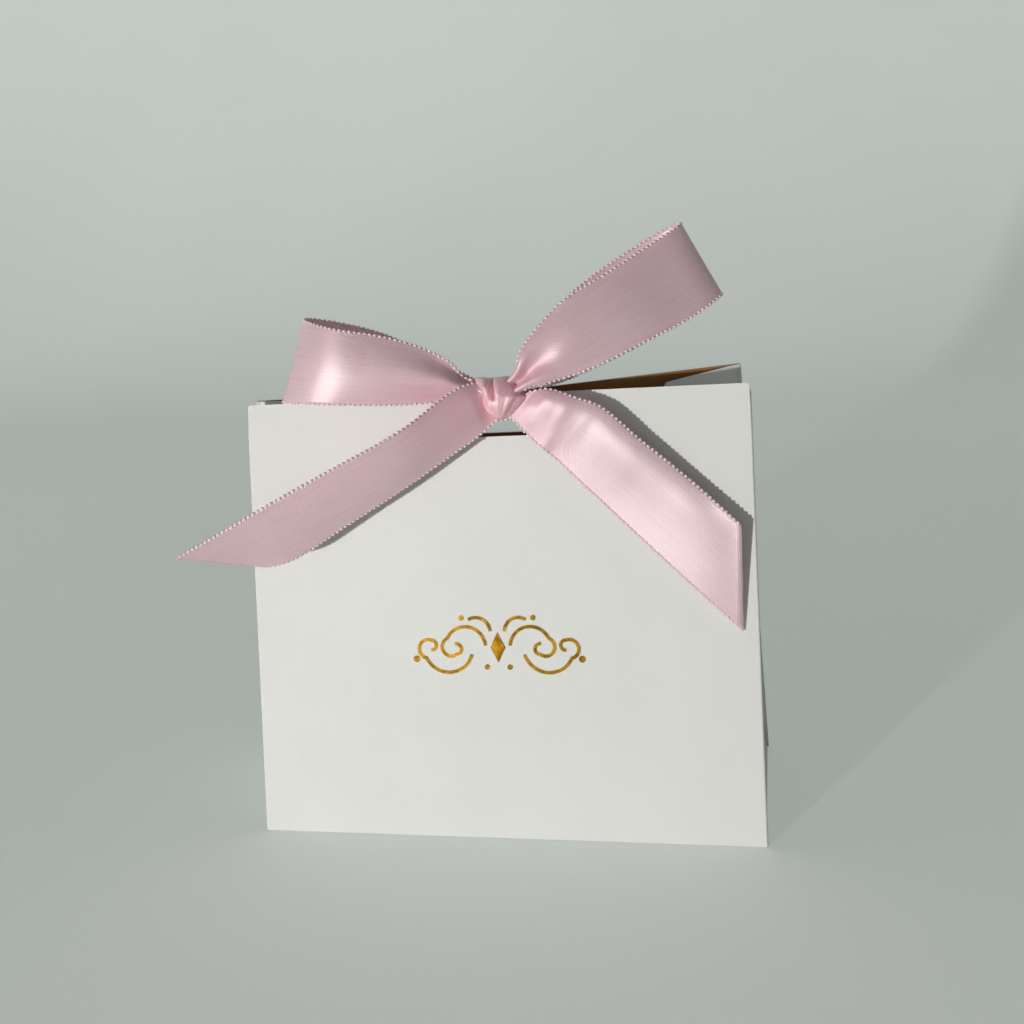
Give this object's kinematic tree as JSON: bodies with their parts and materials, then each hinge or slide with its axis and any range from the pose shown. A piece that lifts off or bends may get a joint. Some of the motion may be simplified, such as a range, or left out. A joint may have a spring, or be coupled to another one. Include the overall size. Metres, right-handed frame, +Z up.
{
  "type": "favor box",
  "caption": "Small folded-card favor box with leaning panels and folded-in side gussets, closed by a satin ribbon bow through a slot; the mouth opens and the bow's tails and loops lift.",
  "frame": {"origin": "middle of the base, on the surface that the box stands on", "axes": "+Z up, -Y towards the front panel with the bow, X across the width"},
  "size_m": [0.1217, 0.0556, 0.1303],
  "materials": {
    "white_card": "smooth matt white card",
    "satin_ribbon": "pink satin weave with a beaded edge",
    "gold_foil": "hot-stamped gold foil"
  },
  "bodies": {
    "base": {"base_front_flap": "white_card", "base_back_flap": "white_card", "base_left_flap": "white_card", "base_right_flap": "white_card"},
    "front_panel": {"front_panel": "white_card", "ribbon_wrap_front": "satin_ribbon", "ribbon_knot": "satin_ribbon", "foil_ornament": "gold_foil"},
    "back_panel": {"back_panel": "white_card", "glue_flap": "white_card", "ribbon_wrap_back": "satin_ribbon"},
    "left_side_triangle": {"left_side_triangle": "white_card"},
    "left_front_wing": {"left_front_wing": "white_card"},
    "left_rear_wing": {"left_rear_wing": "white_card"},
    "right_side_triangle": {"right_side_triangle": "white_card"},
    "right_front_wing": {"right_front_wing": "white_card"},
    "right_rear_wing": {"right_rear_wing": "white_card"},
    "left_tail": {"left_tail": "satin_ribbon"},
    "right_tail": {"right_tail": "satin_ribbon"},
    "left_loop": {"left_loop": "satin_ribbon"},
    "right_loop": {"right_loop": "satin_ribbon"}
  },
  "joints": [
    {"name": "front_fold", "type": "hinge", "parent": "base", "child": "front_panel", "pos_m": [0, -0.0226, 0], "axis": [1, 0, 0], "range_deg": [0, 6]},
    {"name": "back_fold", "type": "hinge", "parent": "base", "child": "back_panel", "pos_m": [0, 0.0226, 0], "axis": [-1, 0, 0], "range_deg": [0, 6]},
    {"name": "left_triangle_fold", "type": "hinge", "parent": "base", "child": "left_side_triangle", "pos_m": [-0.0566, 0, 0], "axis": [0, -1, 0], "range_deg": [0, 1.93]},
    {"name": "left_front_wing_fold", "type": "hinge", "parent": "front_panel", "child": "left_front_wing", "pos_m": [-0.0566, -0.0226, 0], "axis": [0, 0.203, 0.9792], "range_deg": [0, 27.44]},
    {"name": "left_rear_wing_fold", "type": "hinge", "parent": "back_panel", "child": "left_rear_wing", "pos_m": [-0.0566, 0.0226, 0], "axis": [0, 0.203, -0.9792], "range_deg": [0, 27.44]},
    {"name": "right_triangle_fold", "type": "hinge", "parent": "base", "child": "right_side_triangle", "pos_m": [0.0566, 0, 0], "axis": [0, 1, 0], "range_deg": [0, 2.75]},
    {"name": "right_front_wing_fold", "type": "hinge", "parent": "front_panel", "child": "right_front_wing", "pos_m": [0.0566, -0.0226, 0], "axis": [0, -0.203, -0.9792], "range_deg": [0, 31.25]},
    {"name": "right_rear_wing_fold", "type": "hinge", "parent": "back_panel", "child": "right_rear_wing", "pos_m": [0.0566, 0.0226, 0], "axis": [-0.0242, -0.1, 0.9947], "range_deg": [0, 27.65]},
    {"name": "left_tail_lift", "type": "hinge", "parent": "front_panel", "child": "left_tail", "pos_m": [-0.00265, -0.00941, 0.09177], "axis": [0, -0.0738, 0.9973], "range_deg": [0, 50], "stiffness_Nm_per_rad": 0.004},
    {"name": "right_tail_lift", "type": "hinge", "parent": "front_panel", "child": "right_tail", "pos_m": [0.01008, -0.00877, 0.093], "axis": [-0.6283, -0.1579, -0.7617], "range_deg": [0, 50], "stiffness_Nm_per_rad": 0.004},
    {"name": "left_loop_tilt", "type": "hinge", "parent": "front_panel", "child": "left_loop", "pos_m": [-0.00322, -0.00707, 0.09934], "axis": [0, 0.9792, -0.203], "range_deg": [0, 25], "stiffness_Nm_per_rad": 0.004},
    {"name": "right_loop_tilt", "type": "hinge", "parent": "front_panel", "child": "right_loop", "pos_m": [0.00951, -0.00674, 0.10092], "axis": [0, -0.9792, 0.203], "range_deg": [-10, 20], "stiffness_Nm_per_rad": 0.004}
  ],
  "couplings": [
    {"joint": "back_fold", "follows": "front_fold", "ratio": 1},
    {"joint": "left_triangle_fold", "follows": "front_fold", "ratio": 0.3126},
    {"joint": "left_front_wing_fold", "follows": "front_fold", "ratio": 4.5656},
    {"joint": "left_rear_wing_fold", "follows": "front_fold", "ratio": 4.5656},
    {"joint": "right_triangle_fold", "follows": "front_fold", "ratio": 0.45},
    {"joint": "right_front_wing_fold", "follows": "front_fold", "ratio": 5.2},
    {"joint": "right_rear_wing_fold", "follows": "front_fold", "ratio": 4.6}
  ]
}
